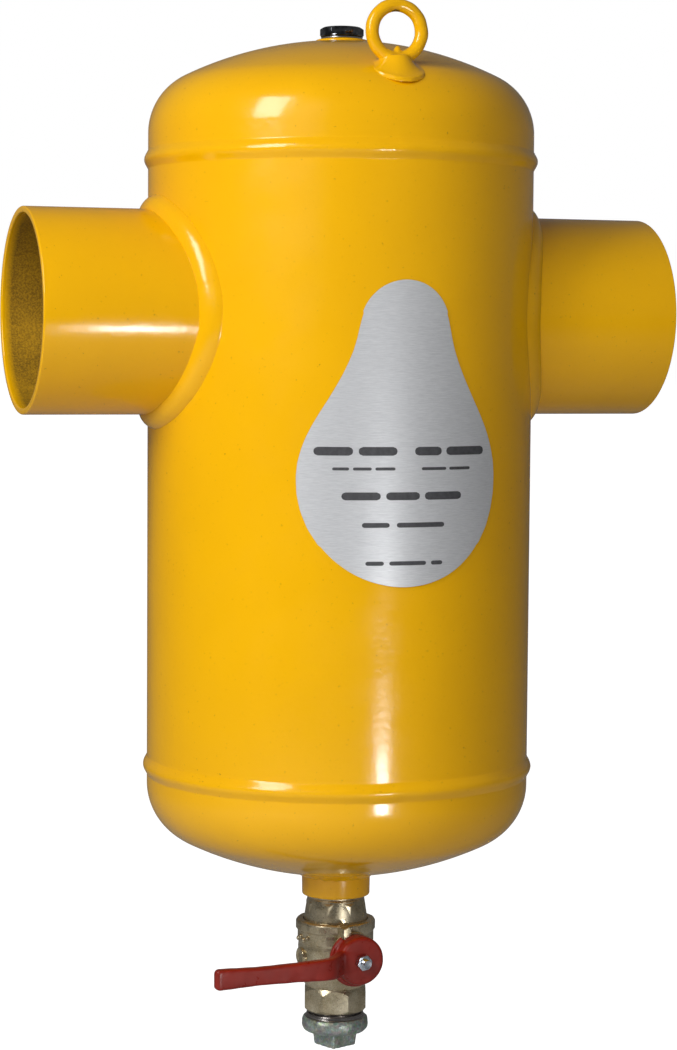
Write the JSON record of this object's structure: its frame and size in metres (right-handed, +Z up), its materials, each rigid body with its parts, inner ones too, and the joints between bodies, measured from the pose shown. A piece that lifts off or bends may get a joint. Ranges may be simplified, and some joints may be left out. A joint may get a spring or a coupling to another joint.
{
  "type": "dirt separator",
  "caption": "Welded steel in-line dirt separator: round vessel between two weld-end pipe stubs, with a vent plug and lifting eye on top and a lever ball valve and plug below.",
  "frame": {"origin": "where the axis of the pipe run crosses the vessel's axis", "axes": "+Z up along the vessel's axis, +X along the pipe run from inlet to outlet, -Y the front with the label"},
  "size_m": [0.37, 0.224, 0.5917],
  "materials": {
    "yellow_paint": "gloss",
    "silver_label": "satin",
    "copper": "satin",
    "stainless": "brushed",
    "nickel": "polished",
    "nickelled_brass": "satin",
    "chrome": "polished",
    "ptfe": "matte",
    "red_coating": "satin",
    "zinc_plate": "bright zinc plate",
    "galvanised_iron": "galvanised"
  },
  "bodies": {
    "vessel": {"shell_tube": "yellow_paint", "top_dished_end": "yellow_paint", "bottom_dished_end": "yellow_paint", "top_seam_weld": "yellow_paint", "bottom_seam_weld": "yellow_paint", "inlet_pipe": "yellow_paint", "outlet_pipe": "yellow_paint", "inlet_weld": "yellow_paint", "outlet_weld": "yellow_paint", "lifting_eye": "yellow_paint", "lifting_eye_weld": "yellow_paint", "vent_socket": "yellow_paint", "drain_socket": "yellow_paint", "drain_socket_weld": "yellow_paint", "plate_bracket_1": "yellow_paint", "plate_bracket_2": "yellow_paint", "plate_bracket_3": "yellow_paint", "name_label": "silver_label", "core_tube_1": "copper", "core_tube_2": "copper", "core_tube_3": "copper", "core_tube_4": "copper", "core_tube_5": "copper", "core_tube_6": "copper", "core_tube_7": "copper", "wire_sleeve_1": "copper", "wire_sleeve_2": "copper", "wire_sleeve_3": "copper", "wire_sleeve_4": "copper", "wire_sleeve_5": "copper", "wire_sleeve_6": "copper", "wire_sleeve_7": "copper", "lower_tube_plate": "stainless", "upper_tube_plate": "stainless", "valve_end_piece": "nickelled_brass", "valve_body": "nickelled_brass", "gland_nut": "nickelled_brass", "upper_ball_seat": "ptfe", "lower_ball_seat": "ptfe", "stem_packing": "ptfe"},
    "lever": {"lever": "red_coating", "lever_nut": "zinc_plate", "valve_stem": "nickelled_brass", "valve_ball": "chrome"},
    "vent_seal": {"vent_seal": "stainless"},
    "vent_plug": {"vent_plug": "nickel"},
    "drain_plug_tape": {"drain_plug_tape": "ptfe"},
    "drain_plug": {"drain_plug": "galvanised_iron"}
  },
  "joints": [
    {"name": "lever_turn", "type": "hinge", "parent": "vessel", "child": "lever", "pos_m": [0, 0, -0.367], "axis": [0.0872, -0.9962, 0], "range_deg": [0, 90]},
    {"name": "vent_plug_rise", "type": "slide", "parent": "vessel", "child": "vent_seal", "axis": [0, 0, 1], "range_m": [0, 0.012]},
    {"name": "vent_plug_turn", "type": "hinge", "parent": "vent_seal", "child": "vent_plug", "pos_m": [0, 0, 0.155], "axis": [0, 0, 1], "range_deg": [0, 3240]},
    {"name": "drain_plug_drop", "type": "slide", "parent": "vessel", "child": "drain_plug_tape", "axis": [0, 0, -1], "range_m": [0, 0.0161]},
    {"name": "drain_plug_turn", "type": "hinge", "parent": "drain_plug_tape", "child": "drain_plug", "pos_m": [0, 0, -0.405], "axis": [0, 0, -1], "range_deg": [0, 2520]}
  ],
  "couplings": [
    {"joint": "vent_plug_turn", "follows": "vent_plug_rise", "rad_per_m": 4699.5},
    {"joint": "drain_plug_turn", "follows": "drain_plug_drop", "rad_per_m": 2721.2}
  ]
}
